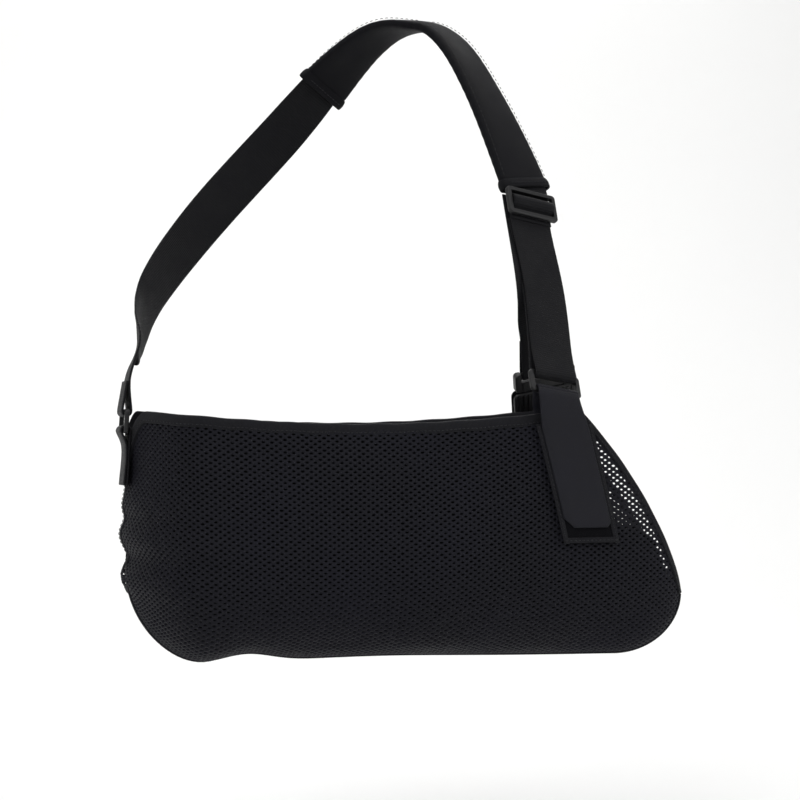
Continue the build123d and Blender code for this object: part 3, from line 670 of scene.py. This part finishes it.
def backing(wall, start, lift):
    """Dense inner knit of the spacer fabric, whose material is coloured darker than the face yarn as painted
    shade seen through the holes.
    """
    along = np.linspace(0, wall.length, 150)
    down = np.linspace(start, wall.depth.max(), 90)
    a, d = np.meshgrid(along, down, indexing="ij")
    verts = wall.read(a, d, lift)
    low = np.clip((verts[..., 2] + 411) / 24, 0, 1)
    clear = 34 * low**2 * (3 - 2 * low)
    keep = inside_mouth(verts[..., 0], verts[..., 2]) > np.maximum(clear, 7.0)
    keep &= verts[..., 2] < top_z(verts[..., 0]) - 2.0
    index = np.arange(a.size).reshape(a.shape)
    quads = np.stack([index[:-1, :-1], index[1:, :-1], index[1:, 1:], index[:-1, 1:]], -1)
    good = keep[:-1, :-1] & keep[1:, :-1] & keep[1:, 1:] & keep[:-1, 1:]
    limit = np.interp(along, np.linspace(0, wall.length, wall.count), wall.depth)
    good &= (d[:-1, :-1] < limit[:-1, None])
    quads = quads[good].reshape(-1, 4)
    params = np.stack([a, d], -1).reshape(-1, 2)
    if wall.side > 0:
        quads = quads[:, ::-1]
    return verts.reshape(-1, 3), quads.tolist(), params[quads.ravel()] * MM


OUTER, INNER = Wall(-1), Wall(1)


def build_panels():
    front = perforated(OUTER, MESH_START, 1.1)
    back = backing(OUTER, 3.0, -2.2)
    verts, faces, uvs = join_parts([front, back])
    index = [0] * len(front[1]) + [1] * len(back[1])
    looks = [MESH, LINING_PAINTED_SHADE]
    outer = make_piece("outer_panel_mesh", verts, faces, uvs, looks, "mesh", stands_for=["outer_panel"],
                       indices=index)
    verts, faces, uvs = perforated(INNER, MESH_START, 1.0)
    inner = make_piece("inner_panel_mesh", verts, faces, uvs, [MESH], "mesh", stands_for=["inner_panel"])
    return outer, inner


OUTER_PANEL, INNER_PANEL = build_panels()


# ---------------------------------------------------------------- bindings and seams
def tape_ring(height, thick):
    """Folded binding tape: rounded over its edge, with two raised lower lips."""
    h, t = height / 2, thick / 2
    one = [(h, 0), (h * 0.97, t * 0.45), (h * 0.85, t * 0.85), (h * 0.5, t)]
    one += [(0, t * 0.97), (-h * 0.6, t * 0.94), (-h * 0.93, t), (-h, t * 0.82)]
    other = [(a, -b) for a, b in one[1:]][::-1]
    return np.array(one + [(-h, t * 0.2), (-h, -t * 0.2)] + other)


def binding_along(name, centres, acrosses, outs, node, waviness, height=BINDING_HEIGHT):
    wave = waviness * np.sin(np.arange(len(centres)) * 0.42) * 0.5
    centres = centres + acrosses * wave[:, None]
    ring = tape_ring(height + 0.6, FABRIC + 2 * BINDING_PROUD)
    body = sweep(centres, acrosses, outs, [ring] * len(centres))
    make_piece(name, *body, [BINDING], "binding", stands_for=[node])
    low = centres - acrosses * height * 0.275
    for sign, tag in ((1, "front"), (-1, "back")):
        rows = stitches(low + outs * sign * 2.35, outs * sign, acrosses, 2.3, 1.0)
        make_piece(f"{name}_stitching_{tag}", *rows, [THREAD], "binding")


def top_binding(side, name, node):
    fall = ELBOW_TOP_LENGTH * (1 - np.sin(np.linspace(math.radians(72), 0, 18)))
    x = np.concatenate([ELBOW_X + fall, np.linspace(ELBOW_X + ELBOW_TOP_LENGTH, MOUTH_TOP[0] - 2.0, 150)[1:]])
    top = top_z(x)
    y = centre_y(x) + side * (section_half(x, top) - FABRIC / 2)
    edge = np.stack([x, y, top], 1)
    along = unit(np.gradient(edge, axis=0))
    outs = unit(np.cross(along, [0, 0, 1]))
    outs = outs * np.sign((outs[:, 1] * side))[:, None]
    acrosses = unit(np.cross(outs, along))
    acrosses = acrosses * np.sign(acrosses[:, 2])[:, None]
    centres = edge - acrosses * (BINDING_HEIGHT / 2 - 0.2)
    binding_along(name, centres, acrosses, outs, node, 0.45)


def mouth_line(side, inset, count=70):
    """Points on a panel just inside the mouth's edge, from its top corner to the seam under it."""
    start = math.atan2(MOUTH_TOP[1] - MOUTH_CENTRE[1], MOUTH_TOP[0] - MOUTH_CENTRE[0])
    end = math.atan2(MOUTH_END[1] - MOUTH_CENTRE[1], MOUTH_END[0] - MOUTH_CENTRE[0])
    radius = MOUTH_RADIUS - inset if POUCH_IN_CIRCLE else MOUTH_RADIUS + inset
    angle = np.linspace(start, end, 400)
    x, z = MOUTH_CENTRE[0] + radius * np.cos(angle), MOUTH_CENTRE[1] + radius * np.sin(angle)
    ok = (z > bottom_z(x) + 0.8) & (z < -312.0)
    x, z = x[ok], z[ok]
    pick = np.linspace(0, len(x) - 1, count).astype(int)
    x, z = x[pick], z[pick]
    y = centre_y(x) + side * np.maximum(section_half(x, z) - FABRIC / 2, 1.6)
    return np.stack([x, y, z], 1)


def mouth_binding(side, name, node):
    centres = mouth_line(side, MOUTH_BINDING_HEIGHT / 2)
    along = unit(np.gradient(centres, axis=0))
    edge = mouth_line(side, 0.5)
    across = edge - centres
    across = unit(across - along * (across * along).sum(1, keepdims=True))
    outs = np.cross(along, across)
    outs = outs * np.sign(outs[:, 1] * side)[:, None]
    binding_along(name, centres, across, outs, node, 0.2, MOUTH_BINDING_HEIGHT)


for build, edge in ((top_binding, "top"), (mouth_binding, "mouth")):
    for side, panel in ((-1, "outer"), (1, "inner")):
        build(side, f"{panel}_{edge}_binding_tape", f"{panel}_{edge}_binding")


def seam_line():
    """The seam that closes the pouch, down the elbow end and along underneath."""
    z = np.linspace(-362, float(bottom_z(ELBOW_X)), 26)
    bulge = drape(np.full_like(z, ELBOW_X), z, -1)
    end = np.stack([ELBOW_X - 0.4 - bulge, np.full_like(z, float(centre_y(ELBOW_X))), z], 1)
    round_start = HAND_X - HAND_BOTTOM
    x = np.concatenate([
        ELBOW_X + ELBOW_ROUND * (1 - np.cos(np.linspace(0, math.pi / 2, 24))),
        np.linspace(ELBOW_X + ELBOW_ROUND, round_start, 80)[1:],
        round_start + HAND_BOTTOM * np.sin(np.linspace(0, math.radians(88), 34))[1:],
    ])
    low = np.stack([x, centre_y(x), bottom_z(x) - 0.3], 1)
    return end, low


def build_seams():
    end, low = seam_line()
    side = np.tile([0.0, 1.0, 0.0], (len(end), 1))
    out = np.tile([-1.0, 0.0, 0.0], (len(end), 1))
    ring = tape_section(8.4, 1.6, -0.8)
    body = sweep(end, side, out, [ring] * len(end))
    make_piece("elbow_seam_tape", *body, [BINDING], "binding", stands_for=["elbow_seam_binding"])
    for offset in (-2.6, 2.6):
        row = stitches(end + side * offset + out * 0.75, out, side)
        make_piece(f"elbow_seam_stitching_{'front' if offset < 0 else 'rear'}", *row, [THREAD], "binding")
    along, across, out = frames(low, np.tile([0.0, 1.0, 0.0], (len(low), 1)))
    body = sweep(low, across, out, [round_section(4.4, 2.6, 2.2, 14)] * len(low))
    make_piece("pouch_bottom_seam", *body, [BINDING], "binding")


build_seams()


# ---------------------------------------------------------------- straps
def route(stations, steps):
    result = []
    last = len(stations) - 1
    for k in range(last):
        p = [stations[min(max(k + d, 0), last)] for d in (-1, 0, 1, 2)]
        for step in range(steps):
            u = step / steps
            pair = []
            for c in (0, 1):
                b, s, e, a = (np.array(q[c], float) for q in p)
                line = s * 2 + (e - b) * u
                bend = line + (b * 2 - s * 5 + e * 4 - a) * u**2 + (s * 3 - b - e * 3 + a) * u**3
                pair.append(bend * 0.5)
            result.append(tuple(pair))
    return result + [tuple(np.array(c, float) for c in stations[-1])]


def side_view(plane, places):
    return [(plane.at(y, z), plane.x) for y, z in places]


def wrap(bar_y, first, last, radius=WRAP_RADIUS, steps=10):
    angles = np.radians(np.linspace(first, last, steps + 1))
    return [(bar_y + radius * math.sin(a), radius * math.cos(a)) for a in angles]


def shoulder_route():
    stations = list(STRAP_ROUTE)
    for height in (PAD_MOUTH, PAD_MOUTH - LEAD_OUT):
        stations.append((FRONT.at(height, STRAP_GAP / 2), FRONT.x))
    return route(stations, ROUTE_STEPS)


SLACK = 3.0


def front_sway(amount):
    """Sideways slack in the front run, between the slider and the ring."""

    def shift(marks, centres, sides):
        height = (centres - FRONT.o) @ FRONT.y
        near = np.abs((centres - FRONT.o) @ FRONT.z) < 6
        share = np.clip((height - 14) / (SLIDER_DISTANCE - 30), 0, 1) * near
        return np.outer(amount * np.sin(math.pi * share) ** 1.5, FRONT.x)

    return shift


def build_straps():
    fold = [(FOLD_TOP, -1.0)] + wrap(BAR_OFFSET, 180, 360) + [(FOLD_TOP, 1.0)]
    stations = side_view(ELBOW, fold) + shoulder_route()
    stations += side_view(FRONT, [(FOLD_TOP + 60, STRAP_GAP / 2), (FOLD_TOP, STRAP_GAP / 2 + FOLD_EASE)])
    stations += side_view(FRONT, wrap(BAR_OFFSET, 0, -180))
    body = tape(stations, WEBBING, THICK, 1.5, 0.25, front_sway(SLACK))
    make_piece("shoulder_strap_webbing", *body, [WEB], "webbing", stands_for=["shoulder_strap"])
    behind = -STRAP_GAP / 2
    low = SLIDER_DISTANCE - 12.4
    places = [(BAR_OFFSET + 0.4, -WRAP_RADIUS), (FOLD_TOP, behind - FOLD_EASE), (80, behind), (low, behind)]
    body = tape(side_view(FRONT, places), WEBBING, THICK, 2.0, 0.2, front_sway(SLACK))
    obj = make_piece("strap_return_webbing", *body, [WEB], "webbing", body=None, stands_for=["strap_return"])
    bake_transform(obj)
    climb = [(14.5, -3.4), (9, -2.9), (5.6, -0.4), (3.2, 3.0)]
    hump_line = [(-y, z) for y, z in climb] + [(0, 4.3)] + climb[::-1]
    hump_tape = tape(side_view(SLIDER, hump_line), WEBBING, THICK, 1.0, 0.15)
    make_piece("strap_over_slider", *hump_tape, [WEB], "webbing", body="slider")
    loop = side_view(SLIDER, [(-12.0, -4.6)] + [(y * 1.05, z) for y, z in wrap(0.0, 200, -60, 2.5)])
    body = tape(loop, WEBBING - 0.6, 1.3, 1.0)
    make_piece(
        "strap_end_loop_webbing", *body, [WEB], "webbing", body="slider", stands_for=["strap_end_loop"]
    )


build_straps()


def build_elbow_anchor():
    low = -48.0
    places = [(low, 1.2), (-18, 1.2)] + wrap(-BAR_OFFSET, 180, 0) + [(-18, 3.4), (low, 3.4)]
    body = tape(side_view(ELBOW, places), WEBBING, THICK, 1.2, 0.0)
    make_piece("elbow_anchor_fold", *body, [WEB], "webbing", stands_for=["elbow_anchor_webbing"])


build_elbow_anchor()


# ---------------------------------------------------------------- closure
def closure_stations(first, last, proud, count=10):
    low = FRONT.at(-BAR_OFFSET, 0)
    result = []
    for drop in np.linspace(first, last, count):
        x, z = low[0] + CLOSURE_LEAN * drop, low[2] - drop
        beside = [wall_point(x + d, z, -1, proud) for d in (-TAB_WIDTH / 2, TAB_WIDTH / 2)]
        result.append((wall_point(x, z, -1, proud), unit(beside[1] - beside[0])))
    return result


def tab_ends(mark, total):
    """Left and right reach, with the lower corners cut off."""
    rest = total - mark
    left = TAB_WIDTH / 2 - max(0.0, 7.5 - rest) * 0.95
    right = TAB_WIDTH / 2 - max(0.0, 3.6 - rest) * 0.95
    return left, right


def pad_border(tag, line, across, outward):
    """Tape sewn along one edge of the loop pad, with its stitches."""
    body = sweep(line, across, outward, [tape_section(4.2, 0.7)] * len(line))
    make_piece(f"loop_pad_border_{tag}", *body, [BINDING], "loop_tape")
    body = stitches(line + outward * 0.32, outward, across)
    make_piece(f"loop_pad_stitching_{tag}", *body, [THREAD], "loop_tape")


def build_closure():
    pad_line = closure_stations(24, 24 + LOOP_PAD_LENGTH, 2.2, 12)
    body = tape(pad_line, LOOP_PAD_WIDTH, 2.0, 2.0, square=False)
    make_piece("loop_pad_pile", *body, [LOOP], "loop_tape", stands_for=["loop_pad"])
    centres, sides, _ = spline(pad_line, 2.0)
    _, across, out = frames(centres, sides, square=False)
    outward = out * np.sign(-out[:, 1])[:, None]
    for reach, tag in ((1.8 - LOOP_PAD_WIDTH / 2, "rear"), (LOOP_PAD_WIDTH / 2 - 1.8, "front")):
        line = centres + across * reach + outward * 1.25
        pad_border(tag, line, across, outward)
    reaches = np.linspace(-LOOP_PAD_WIDTH / 2, LOOP_PAD_WIDTH / 2, 20)
    low_edge = np.stack([centres[-2] + across[-2] * r + outward[-2] * 1.3 for r in reaches])
    ups = np.tile(unit(centres[-3] - centres[-1]), (20, 1))
    normals = np.tile(outward[-2], (20, 1))
    low_edge = low_edge + ups * 0.6
    pad_border("low", low_edge, ups, normals)
    tab = side_view(FRONT, [(-BAR_OFFSET, WRAP_RADIUS), (-BAR_OFFSET - 5, WRAP_RADIUS)])
    tab += closure_stations(28, TAB_LENGTH, 4.4)
    body = tape(tab, TAB_WIDTH, TAB_THICK, 1.4, 0.0, halves=tab_ends, square=False)
    make_piece("closure_tab_tape", *body, [HOOK], "hook_tape", body="closure_tab", stands_for=["closure_tab"])
    anchor = closure_stations(60, 11.5, -FABRIC - 2.6, 8)
    anchor += side_view(FRONT, wrap(-BAR_OFFSET, 180, 0, steps=12))
    body = tape(anchor, TAB_WIDTH, TAB_THICK, 1.2, square=False)
    obj = make_piece(
        "closure_anchor_tape", *body, [HOOK], "hook_tape", body=None, stands_for=["closure_anchor"]
    )
    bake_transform(obj)


build_closure()


# ---------------------------------------------------------------- inner strand
def build_inner_side():
    places = side_view(BUCKLE, [(PLUG_BAR_Y + FOLD_TOP, -1.0)] + wrap(PLUG_BAR_Y, -180, 0))
    places.append((BUCKLE.at(PLUG_BAR_Y + FOLD_TOP + 3.5, 1.0), BUCKLE.x))
    places += side_view(FRONT, [(75.0, -4.8), (167.0, -4.8)])
    body = tape(places, WEBBING, THICK, 1.5, 0.2)
    obj = make_piece("inner_strand_webbing", *body, [WEB], "webbing", body=None, stands_for=["inner_strand"])
    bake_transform(obj)
    places = wrap(SOCKET_BAR_Y, 180, 0) + [(SOCKET_BAR_Y - 5, WRAP_RADIUS)]
    stations = side_view(BUCKLE, places)
    low = BUCKLE.at(SOCKET_BAR_Y, 0)
    for drop in (20.0, 34.0, 48.0):
        sides = [wall_point(low[0] + r, low[2] - drop, 1, 2.4) for r in (-19, 0, 19)]
        stations.append((sides[1], unit(sides[2] - sides[0])))
    body = tape(stations, WEBBING, THICK, 1.3)
    make_piece("inner_anchor_fold", *body, [WEB], "webbing", stands_for=["inner_anchor_webbing"])


build_inner_side()


# ---------------------------------------------------------------- shoulder pad
def pad_line(depth):
    centres = shoulder_route()[PAD_FIRST:-ROUTE_STEPS]
    points = np.array([c for c, _ in centres])
    sides = np.array([s for _, s in centres])
    _, across, out = frames(points, sides)
    return [(c - o * depth, s) for c, o, s in zip(points, out, sides)]


def inflate(obj, pressure, frames_run, cap):
    """Cloth simulation of a closed padded shell, with how far a point may move capped."""
    scene = bpy.context.scene
    rest = np.array([v.co for v in obj.data.vertices])
    cloth = obj.modifiers.new("cloth", "CLOTH")
    settings = cloth.settings
    settings.quality = 6
    settings.mass = 0.25
    settings.use_pressure = True
    settings.uniform_pressure_force = pressure
    settings.effector_weights.gravity = 0
    settings.tension_stiffness = settings.compression_stiffness = 12
    settings.shear_stiffness = 6
    settings.bending_stiffness = 1.5
    settings.vertex_group_mass = "held"
    scene.frame_start, scene.frame_end = 1, frames_run
    cloth.point_cache.frame_start, cloth.point_cache.frame_end = 1, frames_run
    for number in range(1, frames_run + 1):
        scene.frame_set(number)
    shape = obj.evaluated_get(bpy.context.evaluated_depsgraph_get())
    moved = np.array([v.co for v in shape.data.vertices])
    obj.modifiers.remove(cloth)
    scene.frame_set(1)
    step = moved - rest
    size = np.linalg.norm(step, axis=1, keepdims=True)
    step = step * np.minimum(1, cap / np.maximum(size, 1e-9))
    obj.data.vertices.foreach_set("co", (rest + step).astype(np.float32).ravel())
    obj.data.update()


def build_pad():
    line = pad_line(PAD_DEPTH)
    centres, sides, marks = spline(line, 2.4)
    _, across, out = frames(centres, sides)
    share = marks / marks[-1]
    rings = []
    for mark, t in zip(marks, share):
        scallop = 0.5 * math.cos(TAU * mark / 8.6)
        ease = min(1.0, min(t, 1 - t) * 14)
        rings.append(round_section(PAD_WIDTH - 2.2 + scallop * ease, 8.6 + 0.6 * ease, 3.4, 44))
    verts, faces, uvs = sweep(centres, across, out, rings)
    cover = make_piece(
        "shoulder_pad_cover", verts, faces, uvs, [PAD], "pad_fabric", body=None, stands_for=["pad_cover"]
    )
    held = cover.vertex_groups.new(name="held")
    m = 44
    ends = list(range(2 * m)) + list(range(len(verts) - 2 * m, len(verts)))
    held.add(ends, 1.0, "REPLACE")
    edge = [k for k in range(len(verts)) if k % m in (0, m // 2)]
    held.add(edge, 1.0, "REPLACE")
    inflate(cover, 4.0, 20, 0.0022)
    cover.vertex_groups.clear()
    smooth = cover.modifiers.new("smooth", "SUBSURF")
    smooth.levels = smooth.render_levels = 1
    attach(cover, "sling")
    for sign, tag in ((1, "front"), (-1, "rear")):
        edge_line = centres + across * sign * (PAD_WIDTH / 2 - 3.4) + out * 4.5
        rows = stitches(edge_line, out, across, 2.6, 1.7)
        make_piece(f"pad_stitching_{tag}", *rows, [THREAD], "pad_fabric")
    foam_line = pad_line(3.8)[1:-1]
    centres_f, sides_f, _ = spline(foam_line, 3.0)
    _, across_f, out_f = frames(centres_f, sides_f)
    body = sweep(centres_f, across_f, out_f, [round_section(41, 4.0, 5, 28)] * len(centres_f))
    foam = make_piece("pad_foam_core", *body, [FOAM], "foam", stands_for=["pad_foam"])
    for end, tag, node in ((0, "back", "pad_back_hem"), (-1, "front", "pad_front_hem")):
        away = unit(line[0][0] - line[1][0]) if end == 0 else unit(line[-1][0] - line[-2][0])
        base = line[end][0]
        side = line[end][1]
        side = unit(side - away * np.dot(side, away))
        o = np.cross(away, side) if end else np.cross(-away, side)
        build_hem(f"pad_{tag}_hem_band", base, away, side, unit(o), node)


def build_hem(name, base, away, side, out, node):
    """Turned hem: an open flattened sleeve with a rolled lip and a row of stitches."""
    profile = [(-1.5, 1.2), (0.4, 0.4), (2.6, 0.0), (5.6, 0.05), (6.9, 0.35), (7.4, 0.9)]
    inner = [(6.9, 1.5), (5.0, 1.7), (-1.5, 1.9)]
    m = 44
    rings = []
    for reach, inset in profile + inner:
        ring = round_section(PAD_WIDTH + 1.0 - 2 * inset, PAD_THICK + 1.0 - 2 * inset, 3.6, m)
        rings.append(base + away * reach + ring[:, :1] * side + ring[:, 1:] * out)
    verts = np.concatenate(rings)
    faces, uvs = [], []
    n = len(rings)
    for i in range(n - 1):
        for j in range(m):
            k = (j + 1) % m
            faces.append([i * m + j, i * m + k, (i + 1) * m + k, (i + 1) * m + j])
            for a, b in ((i, j), (i, j + 1), (i + 1, j + 1), (i + 1, j)):
                uvs.append((b * 0.0026, a * 0.0022))
    make_piece(name, verts, faces, uvs, [PAD], "pad_fabric", stands_for=[node])
    for sign, tag in ((1, "outer"), (-1, "inner")):
        xs = np.linspace(-19, 19, 30)
        points = np.array([base + away * 3.4 + side * x + out * sign * (PAD_THICK / 2 + 0.42) for x in xs])
        rows = stitches(points, np.tile(out * sign, (30, 1)), np.tile(away, (30, 1)), 2.4, 1.0)
        make_piece(f"{name}_stitching_{tag}", *rows, [THREAD], "pad_fabric")


build_pad()

# ---------------------------------------------------------------- moulded fittings
BUCKLE_NODES = ["buckle_plug", "buckle_socket", "buckle_prong_front", "buckle_prong_rear"]
for node in ["elbow_ring", "front_ring", "tri_glide"] + BUCKLE_NODES:
    NODES[node].data.materials.clear()
    NODES[node].data.materials.append(PLASTIC)


# ---------------------------------------------------------------- stage
def build_stage():
    material = Shader("pale_floor", 0.9, specular=0.2)
    material.colour(material.noise(1.2, 2.0), (0.86, 0.86, 0.855), (0.90, 0.90, 0.895))
    depth, rise, turn, width = 1.6, 3.2, 0.9, 4.5
    floor_z = -0.66
    profile = [(-4.5, floor_z), (depth - turn, floor_z)]
    for k in range(1, 13):
        a = k / 12 * math.pi / 2
        profile.append((depth - turn + turn * math.sin(a), floor_z + turn * (1 - math.cos(a))))
    profile.append((depth, rise))
    verts = [(x, y, z) for y, z in profile for x in (-width, width)]
    faces = [(2 * k, 2 * k + 1, 2 * k + 3, 2 * k + 2) for k in range(len(profile) - 1)]
    data = bpy.data.meshes.new("floor")
    data.from_pydata(verts, [], faces)
    data.materials.append(material.mat)
    data.polygons.foreach_set("use_smooth", [True] * len(data.polygons))
    floor = bpy.data.objects.new("floor", data)
    bpy.context.scene.collection.objects.link(floor)


def add_light(name, place, target, size, power):
    data = bpy.data.lights.new(name, "AREA")
    data.shape = "RECTANGLE"
    data.size, data.size_y = size
    data.energy = power
    obj = bpy.data.objects.new(name, data)
    bpy.context.scene.collection.objects.link(obj)
    obj.location = place
    obj.rotation_euler = (Vector(target) - Vector(place)).to_track_quat("-Z", "Y").to_euler()


def build_lights_and_camera():
    scene = bpy.context.scene
    middle = (-0.04, -0.08, -0.28)
    add_light("key", (-1.7, -2.0, 1.3), middle, (1.6, 1.6), 36)
    add_light("fill", (1.9, -1.5, 0.5), middle, (1.8, 1.8), 20)
    add_light("top", (0.1, -0.2, 1.9), middle, (1.8, 1.8), 20)
    add_light("back", (0.3, 1.3, 1.0), middle, (1.6, 1.0), 10)
    world = bpy.data.worlds.new("studio")
    world.use_nodes = True
    world.node_tree.nodes["Background"].inputs["Color"].default_value = (1, 1, 1, 1)
    world.node_tree.nodes["Background"].inputs["Strength"].default_value = 0.42
    scene.world = world
    scene.view_settings.view_transform = "Standard"
    data = bpy.data.cameras.new("camera")
    data.lens = 101.8
    data.sensor_width = 36.0
    data.clip_start, data.clip_end = 0.05, 30.0
    camera = bpy.data.objects.new("camera", data)
    camera.location = (-0.4920, -1.7858, -0.3000)
    camera.rotation_euler = (math.pi / 2, 0, -math.radians(15.0))
    scene.collection.objects.link(camera)
    scene.camera = camera


build_stage()
build_lights_and_camera()

bpy.context.view_layer.update()
